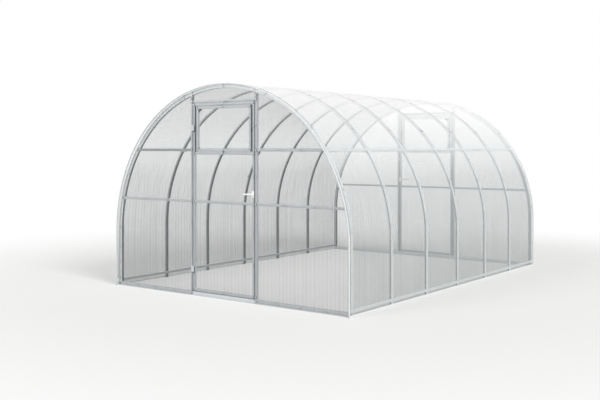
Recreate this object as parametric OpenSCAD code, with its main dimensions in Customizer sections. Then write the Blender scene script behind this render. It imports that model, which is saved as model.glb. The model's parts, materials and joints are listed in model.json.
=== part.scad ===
// Tunnel greenhouse: seven round arches of steel tube under clear twin-wall polycarbonate,
// with a door and a vent sash in each gable.
// X runs across, Y along the tunnel and Z up. The front gable faces -Y.
// The origin is at ground level, in the middle of the plan.

/* [Tunnel] */
// Width over the cover sheets
width = 3000; // [2960:20:3400]
// Height of the straight leg of an arch, below its round part
leg_h = 600; // [580:10:900]
// Distance between neighbouring arches, centre to centre
bay = 675; // [500:5:1000]
// Thickness of the twin-wall sheet
sheet_t = 4; // [3:0.5:8]
// How far the cover reaches beyond a gable
overhang = 40; // [10:5:80]
// Joint between the two cover sheets, over the middle arch
sheet_joint = 2; // [1:0.5:6]

/* [Arches] */
// Tube of the inner arches, measured along the tunnel
arch_w = 40; // [20:1:60]
// Tube of the inner arches, measured from its outside to its inside
arch_t = 20; // [15:1:30]
// Tube of the two gable arches, measured along the tunnel
gable_arch_w = 30; // [25:1:50]
// Tube of the two gable arches, measured from its outside to its inside
gable_arch_t = 40; // [25:1:50]

/* [Rails along the tunnel] */
// Underside of the side base rails above the ground
rail_z = 40; // [0:5:100]
// Height of a side base rail
rail_h = 30; // [20:1:50]
// Width of a purlin, measured round the arch
purlin_h = 25; // [20:1:40]
// Length of the plate that ties rail or purlin to each arch
tie_l = 110; // [80:5:160]
// Thickness of that plate
tie_t = 3; // [1:0.5:5]
// Width of that plate where it holds a purlin
tie_h = 45; // [30:1:60]

/* [Gable frame] */
// Height of the sill tube on the ground
sill_h = 40; // [30:1:60]
// Lower edge of the gable sheets above the ground
sheet_foot = 10; // [0:1:28]
// Face width of the gable posts, bars and header
tube_w = 25; // [20:1:35]
// Depth of the gable posts, bars and header
tube_d = 25; // [20:1:35]
// Drop from the underside of the gable arch's crown to the top of the header
header_drop = 111; // [80:1:300]
// Height of the middle of the low bars and of the door's middle rail
low_bar_z = 940; // [700:10:1150]
// Height of the middle of the high bars and of the purlins
high_bar_z = 1452; // [1300:4:1600]

/* [Door] */
// Width of the door leaf
door_w = 800; // [700:10:860]
// Gap between the leaf and the frame around it
door_gap = 6; // [6:1:12]
// Face width of the leaf's and the sash's tubes
leaf_tube = 25; // [20:1:35]
// Height of the vent sash
vent_h = 448; // [250:2:520]
// Gap over and under the vent sash
vent_gap = 5; // [3:1:12]
// Gap beside the vent sash, where its pivots sit
vent_side_gap = 18; // [10:1:30]
// Radius of the pivots of the vent sash
pivot_r = 7; // [4:0.5:9]

/* [Hinges] */
// Height of the middle of the lower hinge
low_hinge_z = 265; // [150:5:600]
// Drop from the top of the leaf to the middle of the upper hinge
high_hinge_drop = 242; // [100:2:600]
// Height of a hinge
hinge_h = 60; // [45:1:90]
// Width of one hinge plate, from the barrel outwards
hinge_plate_w = 20; // [14:1:24]
// Thickness of a hinge plate
hinge_plate_t = 2; // [1.5:0.5:4]
// Outer radius of the hinge barrel
barrel_r = 6; // [5:0.5:8]
// Radius of the hinge pin
hinge_pin_r = 3; // [2:0.25:3.5]

/* [Handle] */
// Height of the lever's spindle
handle_z = 1033; // [980:1:1200]
// Length of the lever, from the spindle's axis to its end
lever_l = 100; // [70:1:140]
// Height of the lever's bar
lever_h = 14; // [10:1:20]
// Thickness of the lever's bar
lever_t = 9; // [6:0.5:14]
// Free space between the lever's bar and its plate
lever_reach = 22; // [15:1:40]
// Radius of the spindle
spindle_r = 6; // [4:0.5:8]
// Width of a handle plate
handle_plate_w = 24; // [18:1:25]
// Height of a handle plate
handle_plate_h = 64; // [40:1:100]
// Thickness of a handle plate
handle_plate_t = 4; // [2:0.5:8]

/* [Clearances] */
// Gap between the edge of a gable sheet and the cover round it
sheet_trim = 2; // [1:0.5:6]
// Radial play of a pin or spindle in its bearing
play = 0.05; // [0.02:0.01:0.1]
// Gap between two hinge knuckles
knuckle_gap = 1; // [0.5:0.5:2]
// Radial space round the spindle inside the tube
spindle_space = 2; // [1:0.5:4]

/* [Hidden] */
$fn = 96;
bays = 6;
// cuts run past the faces they open by this much
over = 5;
cover_r = width / 2;
frame_r = cover_r - sheet_t;
inner_r = frame_r - arch_t;
gable_r = frame_r - gable_arch_t;
half_l = bays * bay / 2;
// outer face of the gable frame, and the outer face of the sheet on it
gable_y = half_l + gable_arch_w / 2;
gable_sheet_out = gable_y + sheet_t;
cover_end = gable_y + overhang;
// the sides of the doorway and the underside of the header over it
doorway_x = door_w / 2 + door_gap;
post_x = doorway_x + tube_w;
header_z = leg_h + gable_r - header_drop - tube_w;
// the leaf between sill and header, and the light in its top for the vent sash
leaf_foot = sill_h + door_gap;
leaf_top = header_z - door_gap;
leaf_in = door_w / 2 - leaf_tube;
light_top = leaf_top - leaf_tube;
sash_top = light_top - vent_gap;
sash_foot = sash_top - vent_h;
transom_top = sash_foot - vent_gap;
sash_x = leaf_in - vent_side_gap;
high_hinge_z = leaf_top - high_hinge_drop;
// hinge axis: in front of the sheets, over the gap between post and leaf
hinge_x = -(door_w + door_gap) / 2;
hinge_y = -(gable_sheet_out + barrel_r);
knuckle_h = (hinge_h - 2 * knuckle_gap) / 3;
hinge_edge = barrel_r - hinge_plate_t / 2;
handle_x = (door_w - leaf_tube) / 2;
// the purlin's middle line, from the level of the arches' centre
purlin_angle = asin((high_bar_z - leg_h) / (frame_r - arch_t / 2));
// flat faces that lie against the round of the arches at their edges
purlin_out_r = sqrt(pow(frame_r, 2) - pow(purlin_h / 2, 2));
purlin_tie_r = sqrt(pow(inner_r, 2) - pow(tie_h / 2, 2));
steel = "#AEB4BA";
clear_sheet = "#DDE5E8";
white_plastic = "#F2F3F3";

// Box given by its lowest and highest corners.
module block(low, high) {
    translate(low) cube(high - low);
}

// Solid with the tunnel's section: straight sides under a half round.
module tunnel(r, y0, y1, z0) {
    intersection() {
        union() {
            translate([0, y1, leg_h]) rotate([90, 0, 0]) cylinder(r = r, h = y1 - y0, $fn = 180);
            block([-r, y0, z0], [r, y1, leg_h]);
        }
        block([-r - over, y0 - over, z0], [r + over, y1 + over, leg_h + r + over]);
    }
}

// Shell with the tunnel's section, from outer radius r inwards by t.
module tunnel_shell(r, t, y0, y1, z0) {
    difference() {
        tunnel(r, y0, y1, z0);
        tunnel(r - t, y0 - over, y1 + over, z0 - over);
    }
}

module arch(y, w, t, z0) {
    color(steel) tunnel_shell(frame_r, t, y - w / 2, y + w / 2, z0);
}

function arch_y(k) = -half_l + k * bay;

module inner_arch(k) {
    arch(arch_y(k), arch_w, arch_t, 0);
}

// Start and end of the rail pieces in bay k, between the faces of its two arches.
function piece_start(k) = arch_y(k) + (k == 0 ? gable_arch_w : arch_w) / 2;
function piece_end(k) = arch_y(k + 1) - (k == bays - 1 ? gable_arch_w : arch_w) / 2;

// Pieces of tube from radius r0 to r1 between the arches, tied behind every inner arch by a plate.
module tied_rail(r0, r1, h, plate_h) {
    for (k = [0:bays - 1])
        block([r0, piece_start(k), -h / 2], [r1, piece_end(k), h / 2]);
    for (k = [1:bays - 1])
        block([r0 - tie_t, arch_y(k) - tie_l / 2, -plate_h / 2],
              [r0, arch_y(k) + tie_l / 2, plate_h / 2]);
}

module right_base_rail() {
    color(steel) translate([0, 0, rail_z + rail_h / 2]) tied_rail(inner_r, frame_r, rail_h, rail_h);
}

module right_purlin() {
    color(steel) translate([0, 0, leg_h]) rotate([0, -purlin_angle, 0])
        tied_rail(purlin_tie_r, purlin_out_r, purlin_h, tie_h);
}

module cover(y0, y1) {
    color(clear_sheet) tunnel_shell(cover_r, sheet_t, y0, y1, 0);
}

// Everything of a gable is drawn as the front one, and the rear one is turned round.
module rear() {
    rotate([0, 0, 180]) children();
}

// Piece of the gable frame between two corners, trimmed to the round of the gable arch.
module gable_tube(x0, x1, z0, z1) {
    color(steel) intersection() {
        block([x0, -gable_y, z0], [x1, -gable_y + tube_d, z1]);
        tunnel(gable_r, -gable_y - over, -gable_y + tube_d + over, 0);
    }
}

module sill() {
    color(steel) block([-frame_r, -gable_y, 0], [frame_r, -gable_y + gable_arch_w, sill_h]);
}

module right_post() {
    gable_tube(doorway_x, post_x, sill_h, leg_h + gable_r);
}

module header() {
    gable_tube(-doorway_x, doorway_x, header_z, header_z + tube_w);
}

module right_bars() {
    for (z = [low_bar_z, high_bar_z])
        gable_tube(post_x, frame_r, z - tube_w / 2, z + tube_w / 2);
}

// Sheet over part of the gable, trimmed to the tunnel's round.
module gable_sheet(x0, x1, z0) {
    color(clear_sheet) intersection() {
        block([x0, -gable_sheet_out, z0], [x1, -gable_y, leg_h + cover_r]);
        tunnel(frame_r - sheet_trim, -gable_sheet_out - over, -gable_y + over, 0);
    }
}

module right_panel() {
    gable_sheet(doorway_x, frame_r, sheet_foot);
}

module top_panel() {
    gable_sheet(-doorway_x, doorway_x, header_z);
}

// Tube of the leaf or the sash between two corners.
module leaf_bar(x0, x1, z0, z1) {
    block([x0, -gable_y, z0], [x1, -gable_y + tube_d, z1]);
}

// Hole for the spindle, through whatever it crosses.
module spindle_hole(r) {
    translate([handle_x, 0, handle_z]) rotate([90, 0, 0]) cylinder(r = r, h = cover_end + over);
}

module door_frame() {
    color(steel) difference() {
        union() {
            leaf_bar(-door_w / 2, -leaf_in, leaf_foot, leaf_top);
            leaf_bar(leaf_in, door_w / 2, leaf_foot, leaf_top);
            leaf_bar(-leaf_in, leaf_in, leaf_foot, leaf_foot + leaf_tube);
            leaf_bar(-leaf_in, leaf_in, low_bar_z - leaf_tube / 2, low_bar_z + leaf_tube / 2);
            leaf_bar(-leaf_in, leaf_in, transom_top - leaf_tube, transom_top);
            leaf_bar(-leaf_in, leaf_in, light_top, leaf_top);
        }
        spindle_hole(spindle_r + spindle_space);
    }
}

// Sheet over the whole leaf, with the light for the vent sash cut out.
module door_panel() {
    color(clear_sheet) difference() {
        block([-door_w / 2, -gable_sheet_out, leaf_foot], [door_w / 2, -gable_y, leaf_top]);
        block([-leaf_in, -gable_sheet_out - over, transom_top], [leaf_in, -gable_y + over, light_top]);
        spindle_hole(spindle_r + spindle_space);
    }
}

// Vent sash in the top of the leaf, with the two pivots at half its height.
module vent_frame() {
    color(steel) {
        leaf_bar(-sash_x, -sash_x + leaf_tube, sash_foot, sash_top);
        leaf_bar(sash_x - leaf_tube, sash_x, sash_foot, sash_top);
        leaf_bar(-sash_x + leaf_tube, sash_x - leaf_tube, sash_foot, sash_foot + leaf_tube);
        leaf_bar(-sash_x + leaf_tube, sash_x - leaf_tube, sash_top - leaf_tube, sash_top);
        for (x = [-leaf_in, sash_x])
            translate([x, -gable_y + tube_d / 2, (sash_foot + sash_top) / 2])
                rotate([0, 90, 0]) cylinder(r = pivot_r, h = vent_side_gap);
    }
}

module vent_panel() {
    color(clear_sheet)
        block([-sash_x, -gable_sheet_out, sash_foot], [sash_x, -gable_y, sash_top]);
}

// Knuckle of a hinge with the web that joins it to its plate on the given side.
module knuckle(side, z, h) {
    translate([0, 0, z]) {
        cylinder(r = barrel_r, h = h);
        block([side < 0 ? -barrel_r : 0, 0, 0], [side < 0 ? 0 : barrel_r, barrel_r, h]);
    }
}

// Plate on the sheet's face, beside the barrel on the given side.
module hinge_plate(side) {
    inner = side * hinge_edge;
    outer = side * (barrel_r + hinge_plate_w);
    block([min(inner, outer), barrel_r - hinge_plate_t, 0], [max(inner, outer), barrel_r, hinge_h]);
}

module at_hinges() {
    for (z = [low_hinge_z, high_hinge_z])
        translate([hinge_x, hinge_y, z - hinge_h / 2]) children();
}

// Halves of the hinges on the post: two knuckles, their plate and the pin.
module hinge_jambs() {
    color(white_plastic) at_hinges() {
        knuckle(-1, 0, knuckle_h);
        knuckle(-1, hinge_h - knuckle_h, knuckle_h);
        hinge_plate(-1);
        cylinder(r = hinge_pin_r, h = hinge_h);
    }
}

// Halves of the hinges on the leaf: the middle knuckle and its plate.
module hinge_leaves() {
    at_hinges() difference() {
        union() {
            knuckle(1, knuckle_h + knuckle_gap, knuckle_h);
            hinge_plate(1);
        }
        translate([0, 0, -over]) cylinder(r = hinge_pin_r + play, h = hinge_h + 2 * over);
    }
}

// Plate round the spindle on the given faces.
module handle_plate(y0, y1) {
    difference() {
        block([handle_x - handle_plate_w / 2, y0, handle_z - handle_plate_h / 2],
              [handle_x + handle_plate_w / 2, y1, handle_z + handle_plate_h / 2]);
        spindle_hole(spindle_r + play);
    }
}

outer_plate_y = -gable_sheet_out - handle_plate_t;
inner_plate_y = -gable_y + tube_d + handle_plate_t;

module door_fittings() {
    color(white_plastic) {
        hinge_leaves();
        handle_plate(outer_plate_y, -gable_sheet_out);
        handle_plate(-gable_y + tube_d, inner_plate_y);
    }
}

// Flat bar of the lever, round at both ends, from face y0 to face y1.
module lever_bar(y0, y1) {
    translate([handle_x, y1, handle_z]) rotate([90, 0, 0]) {
        translate([-lever_l + lever_h / 2, -lever_h / 2, 0]) cube([lever_l - lever_h / 2, lever_h, y1 - y0]);
        translate([-lever_l + lever_h / 2, 0, 0]) cylinder(r = lever_h / 2, h = y1 - y0);
        cylinder(r = lever_h / 2 + spindle_space, h = y1 - y0);
    }
}

// The levers outside and inside the door, on one spindle.
module door_lever() {
    outer_y = outer_plate_y - lever_reach;
    inner_y = inner_plate_y + lever_reach;
    color(white_plastic) {
        lever_bar(outer_y - lever_t, outer_y);
        lever_bar(inner_y, inner_y + lever_t);
        translate([handle_x, inner_y, handle_z]) rotate([90, 0, 0])
            cylinder(r = spindle_r, h = inner_y - outer_y);
    }
}

arch(arch_y(0), gable_arch_w, gable_arch_t, sill_h);  // front_arch
inner_arch(1);  // arch_2
inner_arch(2);  // arch_3
inner_arch(3);  // arch_4
inner_arch(4);  // arch_5
inner_arch(5);  // arch_6
arch(arch_y(bays), gable_arch_w, gable_arch_t, sill_h);  // rear_arch
mirror([1, 0, 0]) right_base_rail();  // left_base_rail
right_base_rail();
mirror([1, 0, 0]) right_purlin();  // left_purlin
right_purlin();
cover(-cover_end, -sheet_joint / 2);  // front_cover_sheet
cover(sheet_joint / 2, cover_end);  // rear_cover_sheet
sill();  // front_sill
mirror([1, 0, 0]) right_post();  // front_left_post
right_post();  // front_right_post
header();  // front_header
mirror([1, 0, 0]) right_bars();  // front_left_bars
right_bars();  // front_right_bars
mirror([1, 0, 0]) right_panel();  // front_left_panel
right_panel();  // front_right_panel
top_panel();  // front_top_panel
hinge_jambs();  // front_hinge_jambs
door_frame();  // front_door_frame
door_panel();  // front_door_panel
vent_frame();  // front_vent_frame
vent_panel();  // front_vent_panel
door_fittings();  // front_door_fittings
door_lever();  // front_door_lever
rear() sill();  // rear_sill
rear() right_post();  // rear_left_post
rear() mirror([1, 0, 0]) right_post();  // rear_right_post
rear() header();  // rear_header
rear() right_bars();  // rear_left_bars
rear() mirror([1, 0, 0]) right_bars();  // rear_right_bars
rear() right_panel();  // rear_left_panel
rear() mirror([1, 0, 0]) right_panel();  // rear_right_panel
rear() top_panel();  // rear_top_panel
rear() hinge_jambs();  // rear_hinge_jambs
rear() door_frame();  // rear_door_frame
rear() door_panel();  // rear_door_panel
rear() vent_frame();  // rear_vent_frame
rear() vent_panel();  // rear_vent_panel
rear() door_fittings();  // rear_door_fittings
rear() door_lever();  // rear_door_lever
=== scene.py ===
import json
import math

import bmesh
import bpy
from mathutils import Matrix, Vector


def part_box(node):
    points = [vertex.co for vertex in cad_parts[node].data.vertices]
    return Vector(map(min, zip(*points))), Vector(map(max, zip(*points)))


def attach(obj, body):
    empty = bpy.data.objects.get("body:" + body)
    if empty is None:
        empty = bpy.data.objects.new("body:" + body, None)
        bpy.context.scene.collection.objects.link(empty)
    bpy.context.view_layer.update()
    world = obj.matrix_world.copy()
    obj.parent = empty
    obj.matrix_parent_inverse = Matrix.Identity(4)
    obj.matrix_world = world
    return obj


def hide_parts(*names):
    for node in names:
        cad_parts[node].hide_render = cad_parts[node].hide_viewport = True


bl_info = {
    "name": "Polycarbonate greenhouse",
    "version": (1, 0, 0),
    "blender": (4, 5, 0),
    "location": "View3D > Sidebar > Greenhouse",
    "description": "Dresses a tunnel greenhouse's frame with tubes, twin-wall sheets, fittings and screws",
    "category": "Object",
}

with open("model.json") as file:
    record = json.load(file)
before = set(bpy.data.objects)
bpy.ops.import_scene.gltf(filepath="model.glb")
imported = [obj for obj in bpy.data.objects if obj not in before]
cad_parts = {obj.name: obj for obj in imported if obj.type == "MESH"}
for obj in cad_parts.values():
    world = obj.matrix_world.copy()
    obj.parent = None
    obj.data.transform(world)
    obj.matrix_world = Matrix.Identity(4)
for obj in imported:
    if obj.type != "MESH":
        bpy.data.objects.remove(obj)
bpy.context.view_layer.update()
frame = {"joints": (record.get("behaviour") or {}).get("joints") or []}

# Places taken from the frame. The front gable faces -Y, and the rear one is the same turned round.
COVER_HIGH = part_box("front_cover_sheet")[1]
PANEL_LOW, PANEL_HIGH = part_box("front_left_panel")
POST_LOW, POST_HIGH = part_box("front_right_post")
HEADER_LOW, HEADER_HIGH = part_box("front_header")
BARS_LOW, BARS_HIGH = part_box("front_right_bars")
SILL_LOW, SILL_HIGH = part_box("front_sill")
LEAF_LOW, LEAF_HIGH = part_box("front_door_frame")
SASH_PANEL_LOW, SASH_PANEL_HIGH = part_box("front_vent_panel")
SASH_LOW, SASH_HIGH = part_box("front_vent_frame")
RAIL_LOW, RAIL_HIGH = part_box("right_base_rail")
JAMB_LOW, JAMB_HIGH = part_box("front_hinge_jambs")
LEVER_LOW, LEVER_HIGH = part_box("front_door_lever")
COVER_R = COVER_HIGH.x
SPRING = round(COVER_HIGH.z - COVER_R, 3)
SHEET = PANEL_HIGH.y - PANEL_LOW.y
FRAME_R = COVER_R - SHEET
GABLE_Y = LEAF_LOW.y
TUBE = HEADER_HIGH.z - HEADER_LOW.z
DEPTH = HEADER_HIGH.y - HEADER_LOW.y
GABLE_BACK = GABLE_Y + DEPTH
ARCH_NODES = ["front_arch", "arch_2", "arch_3", "arch_4", "arch_5", "arch_6", "rear_arch"]
ARCH_BOXES = [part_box(node) for node in ARCH_NODES]
ARCH_Y = [(low.y + high.y) / 2 for low, high in ARCH_BOXES]
BAY = (ARCH_Y[-1] - ARCH_Y[0]) / (len(ARCH_Y) - 1)
LOW_BAR = BARS_LOW.z + TUBE / 2
HIGH_BAR = BARS_HIGH.z - TUBE / 2
RAIL_Z = (RAIL_LOW.z + RAIL_HIGH.z) / 2
HINGE_AXIS = Vector(frame["joints"][0]["pos_m"])
HINGE_R = JAMB_HIGH.y - HINGE_AXIS.y
SPINDLE = Vector(frame["joints"][1]["pos_m"])
HALF_TURN = Matrix.Rotation(math.pi, 4, "Z")
# Top of the leaf's rail under the vent sash, as far below the sash as the light is above it.
TRANSOM_TOP = SASH_PANEL_LOW.z - (LEAF_HIGH.z - TUBE - SASH_PANEL_HIGH.z)

SHEET_TRIM = 0.002  # the gable sheets end this far inside the cover
TAPE = 0.0005  # sealing tape between sheet and tube
FIT = 0.001  # a bow is this much smaller than the leg that takes it, and a third of it on the outside
CLAMP_RISE = 0.003  # the raised middle of a clamp
GUSSET_THICK = 0.002
WASHER_TOP = 0.0018  # heights of a screw's parts over its sheet
FLANGE_TOP = 0.0030
HEAD_HEIGHT = 0.0038
HEAD_CHAMFER = 0.0004
FLOOR_DROP = 0.0005  # the floor lies this far under the feet
PARALLEL = 0.99  # cosine over which two directions are the same
FACING = 0.8  # cosine over which a face looks a certain way
NEAR = 1e-5

# Screws along an arch: angles above the level of its centre, and heights on its legs.
COVER_SCREWS = [math.radians(a) for a in (5.6, 20, 45, 69)]
GABLE_ARCH_SCREWS = [math.radians(a) for a in (12, 24, 36, 51, 69)]
GABLE_LEG_SCREWS = (0.08, 0.25, 0.42, 0.62)
# Heights of the screws in a post and in a door's stile, and the places across of those in a sill.
POST_SCREWS = (0.42, 0.74, 1.2, 1.69)
STILE_SCREWS = (0.36, 0.65, 1.2)
SILL_SCREWS = (0.68, 0.94, 1.20)
SEAM_STEP = 0.011  # where the two covers meet, each has its own screws this far from the seam
JOINT_SCALE = 1.4  # screws where tubes meet are this much larger
COVER_WASHER = 1.7  # and the washers on the cover are this much wider

# Haze in the skins of a sheet, at heights above the ground: its colour, and the share that it hides in a
# square view. The inner skins and the cover's outer skin are painted grey toward the ground as painted shade,
# and the cover's skins whiter and denser at the top as a painted highlight where the roof is lit from above.
COVER_OUTER = (
    (0.0, "#B8BCBC", 0.10),
    (1.1, "#CDD1D2", 0.12),
    (1.5, "#E6E9EA", 0.16),
    (1.75, "#F4F5F5", 0.30),
    (2.0, "#FFFFFF", 0.50),
)
COVER_INNER = (
    (0.0, "#5C605F", 0.31),
    (0.5, "#5E6262", 0.35),
    (1.15, "#6A7072", 0.24),
    (1.6, "#F8FAFA", 0.03),
    (2.0, "#FCFDFD", 0.08),
)
GABLE_OUTER = (
    (0.0, "#F6F8F9", 0.03),
    (2.0, "#F6F8F9", 0.04),
)
GABLE_INNER = (
    (0.0, "#5C6262", 0.19),
    (1.3, "#767C7E", 0.14),
    (1.7, "#8E9496", 0.16),
    (2.0, "#B4B8BA", 0.06),
)
# Zinc at heights above the ground: on the outsides of the arches, their sides, their insides, and the backs
# of the gables. All four are painted light and shade. The sides, insides and backs are painted darker toward
# the ground and lighter toward the top, with the insides darkest, and the outsides are painted darker under
# the roof.
ZINC_OUTSIDE = ((0.0, "#ECEFF1"), (1.4, "#E8EBED"), (1.75, "#C8CBCD"), (2.0, "#C0C4C6"))
ZINC_ASIDE = ((0.0, "#A2A6A8"), (0.7, "#B0B4B6"), (1.3, "#C6C9CB"), (2.0, "#C6C9CB"))
ZINC_BACK = ((0.0, "#A8ACAE"), (1.2, "#C8CBCD"), (1.6, "#F4F6F7"), (2.0, "#FAFBFC"))
ZINC_INSIDE = ((0.0, "#4A5052"), (1.3, "#4E5456"), (2.0, "#868C8E"))
# The share that a skin hides in a grazing view, and how sharply it gets there.
GRAZE_OUTER = 0.80
GRAZE_INNER = 0.36
GRAZE_POWER = 2.4

# The camera stands upright: its place, its turn from +Y in degrees, its lens in mm and its shift in widths.
CAMERA_PLACE = (5.599, -8.218, 1.481)
CAMERA_TURN = 36.71
CAMERA_LENS = 51.25
CAMERA_SHIFT = (-0.0079, -0.0883)
# Soft sunlight: the way to each lamp and its strength.
LAMPS = (("key_lamp", (0.80, -0.27, 0.54), 2.0), ("fill_lamp", (-0.34, -0.84, 0.42), 1.0))
LAMP_DISTANCE = 8
LAMP_SPREAD = 24


def length(name, description, default):
    """Property for a length."""
    return bpy.props.FloatProperty(name=name, description=description, default=default, unit="LENGTH")


def colour(name, description, default):
    """Property for an sRGB hex code."""
    return bpy.props.StringProperty(name=name, description=description, default=default)


class TubeSizes(bpy.types.PropertyGroup):
    """Sizes of the tubes and of the profiles on the cover"""
    arch_depth: length("Arch depth", "Inner arch, from its outside to its inside", 0.020)
    gable_arch_depth: length("Gable arch depth", "Gable arch, from its outside to its inside", 0.040)
    corner: length("Corner radius", "Radius of a tube's long edges", 0.0025)
    splice_z: length("Splice height", "Top of an arch's leg, where the bow is pushed in", 0.655)
    purlin: length("Purlin", "Width of a purlin round the arch", 0.025)
    profile: length("Profile", "Width of the profile on a cover's outer edge", 0.014)
    profile_foot: length("Foot profile", "Height of the profile on a cover's foot", 0.019)
    arc_steps: bpy.props.IntProperty(
        name="Arc steps", description="Facets along the half round of a bow or a cover sheet", default=91)


class FittingSizes(bpy.types.PropertyGroup):
    """Sizes of the screws, the clamps and the vents' rubber"""
    screw_head: length("Screw head", "Width of a hexagon screw head over its flange", 0.012)
    washer: length("Washer", "Diameter of the rubber washer under a screw head", 0.016)
    clamp_length: length("Clamp length", "Length of the clamp behind an arch", 0.110)
    clamp_height: length("Clamp height", "Width of a purlin's clamp", 0.045)
    clamp_plate: length("Clamp plate", "Thickness of the clamp's steel", 0.003)
    bush: length("Bush", "Height of the rubber bush on a vent's pivot", 0.045)
    gusset: length("Gusset", "Longer leg of the rubber gusset in a vent's upper corner", 0.050)


class HingeSizes(bpy.types.PropertyGroup):
    """Sizes of a door's hinges"""
    height: length("Height", "Height of a hinge", 0.060)
    plate: length("Plate", "Thickness of a hinge plate", 0.002)
    plate_width: length("Plate width", "Width of a plate, from the barrel outwards", 0.013)
    gap: length("Knuckle gap", "Gap between two knuckles", 0.001)
    # The shim reaches past the leaf's plate to the right and below as a painted shadow.
    shim: length("Shim", "Thickness of the rubber shim under the leaf's plate", 0.001)


class HandleSizes(bpy.types.PropertyGroup):
    """Sizes of a door's levers and their plates"""
    bar_height: length("Lever height", "Height of the lever's bar", 0.014)
    bar_thickness: length("Lever thickness", "Thickness of the lever's bar", 0.009)
    plate_width: length("Plate width", "Width of a handle plate", 0.024)
    plate_height: length("Plate height", "Height of a handle plate", 0.064)
    plate_thickness: length("Plate thickness", "Thickness of a handle plate", 0.004)
    spindle: length("Spindle", "Radius of the spindle", 0.006)


class Finishes(bpy.types.PropertyGroup):
    """Colours, and the pitch of the sheets' flutes"""
    zinc: colour("Zinc", "Colour of the arches and rails", "#ECEFF1")
    zinc_gable: colour("Zinc of the gables", "Colour of the tubes of the gables and doors", "#CDD0D3")
    # Painted shade: this darker zinc goes on the outer faces of the left high bars only.
    zinc_bar: colour("Zinc of the high bars", "Colour of the gables' high bars", "#A0A4A6")
    # Painted shade: the tubes' faces in the doors' narrow gaps are painted dark.
    zinc_gap: colour("Zinc in gaps", "Colour of the tubes' faces in the doors' narrow gaps", "#858B8D")
    profile: colour("Profile", "Colour of the end profiles on the cover sheets", "#E6E8E8")
    # Painted shade: the profiles' inner sides are painted greyer than their outsides.
    profile_inside: colour("Profile inside", "Colour of the end profiles' inner sides", "#C6C9C9")
    cut_edge: colour("Cut edge", "Colour of the cut edges of the gable sheets", "#7E8486")
    plastic: colour("Plastic", "Colour of the levers and their plates", "#F4F5F4")
    nylon: colour("Nylon", "Colour of the hinges, greyed by the sun", "#C8CCCE")
    flute_pitch: length("Flute pitch", "Drawn spacing of the sheet's flutes", 0.045)


def tubes():
    return bpy.context.scene.tube_sizes


def fittings():
    return bpy.context.scene.fitting_sizes


def hinge_sizes():
    return bpy.context.scene.hinge_sizes


def handle_sizes():
    return bpy.context.scene.handle_sizes


def finishes():
    return bpy.context.scene.finishes


# ---------------------------------------------------------------- modelling

def deselect():
    if bpy.context.mode != "OBJECT":
        bpy.ops.object.mode_set(mode="OBJECT")
    bpy.ops.object.select_all(action="DESELECT")


def choose(piece):
    """Selects one piece and makes it active."""
    deselect()
    bpy.context.view_layer.objects.active = piece
    piece.select_set(True)


def edit(piece):
    """Opens a piece in edit mode with all of it selected."""
    choose(piece)
    bpy.ops.object.mode_set(mode="EDIT")
    bpy.ops.mesh.select_all(action="SELECT")


def pick(kind, test):
    """Selects the verts, edges or faces of the edited mesh that pass a test."""
    mesh = bpy.context.object.data
    bpy.ops.mesh.select_mode(type=kind[:-1].upper())
    bpy.ops.mesh.select_all(action="DESELECT")
    shape = bmesh.from_edit_mesh(mesh)
    for item in getattr(shape, kind):
        if test(item):
            item.select_set(True)
    shape.select_flush_mode()
    bmesh.update_edit_mesh(mesh)


def extrude(*move):
    """Extrudes what is selected, and moves it by x, y and z."""
    bpy.ops.mesh.extrude_region_move(TRANSFORM_OT_translate={"value": move})


def cut_off(point, normal, fill=True):
    """Takes away what lies beyond a plane from the edited mesh, and closes the cut if fill says so."""
    bpy.ops.mesh.select_all(action="SELECT")
    bpy.ops.mesh.bisect(plane_co=point, plane_no=normal, use_fill=fill, clear_outer=True)


def soften(width):
    """Bevels the sharp edges of the edited mesh."""
    pick("edges", lambda e: e.calc_face_angle(0) > math.radians(60))
    bpy.ops.mesh.bevel(offset=width, segments=2, affect="EDGES")


def turned_out(piece):
    """Turns the faces of the edited piece outwards and leaves edit mode."""
    bpy.ops.mesh.select_all(action="SELECT")
    bpy.ops.mesh.normals_make_consistent(inside=False)
    deselect()
    return piece


def centre_of(edge):
    return (edge.verts[0].co + edge.verts[1].co) / 2


def join(pieces):
    """Joins pieces into the first one."""
    deselect()
    for piece in pieces:
        piece.select_set(True)
    bpy.context.view_layer.objects.active = pieces[0]
    if len(pieces) > 1:
        bpy.ops.object.join()
    return pieces[0]


def duplicate(piece, matrix):
    """A copy of a piece with its own mesh, moved by a matrix."""
    copy = piece.copy()
    copy.data = piece.data.copy()
    bpy.context.collection.objects.link(copy)
    copy.data.transform(matrix)
    return copy


def finish(piece, name, body, look, nodes=(), slot="galvanised_steel"):
    """Names a finished piece, smooths it, gives it a look and puts it on its body. It replaces nodes."""
    choose(piece)
    bpy.ops.object.transform_apply(location=True, rotation=True, scale=True)
    bpy.ops.object.shade_smooth_by_angle(angle=math.radians(30))
    piece.name = name
    piece.data.name = name
    piece.data.materials.clear()
    piece.data.materials.append(material(look))
    if nodes:
        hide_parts(*nodes)
    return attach(piece, body)


def swapped(name):
    """The name with left and right swapped, because the half turn swaps them."""
    sides = {"left": "right", "right": "left"}
    return "_".join(sides.get(word, word) for word in name.split("_"))


def finish_both(piece, name, body, look, nodes=(), slot="galvanised_steel"):
    """Finishes a piece of the front gable and its copy in the rear one. Names come without their gable,
    but for the tunnel's, which is the same body in both."""
    copy = duplicate(piece, HALF_TURN)
    pair = []
    for part, gable, turn in ((piece, "front_", str), (copy, "rear_", swapped)):
        own_body = body if body == "tunnel" else gable + body
        own_nodes = [gable + turn(node) for node in nodes]
        pair.append(finish(part, gable + turn(name), own_body, look, own_nodes, slot))
    return pair


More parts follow.
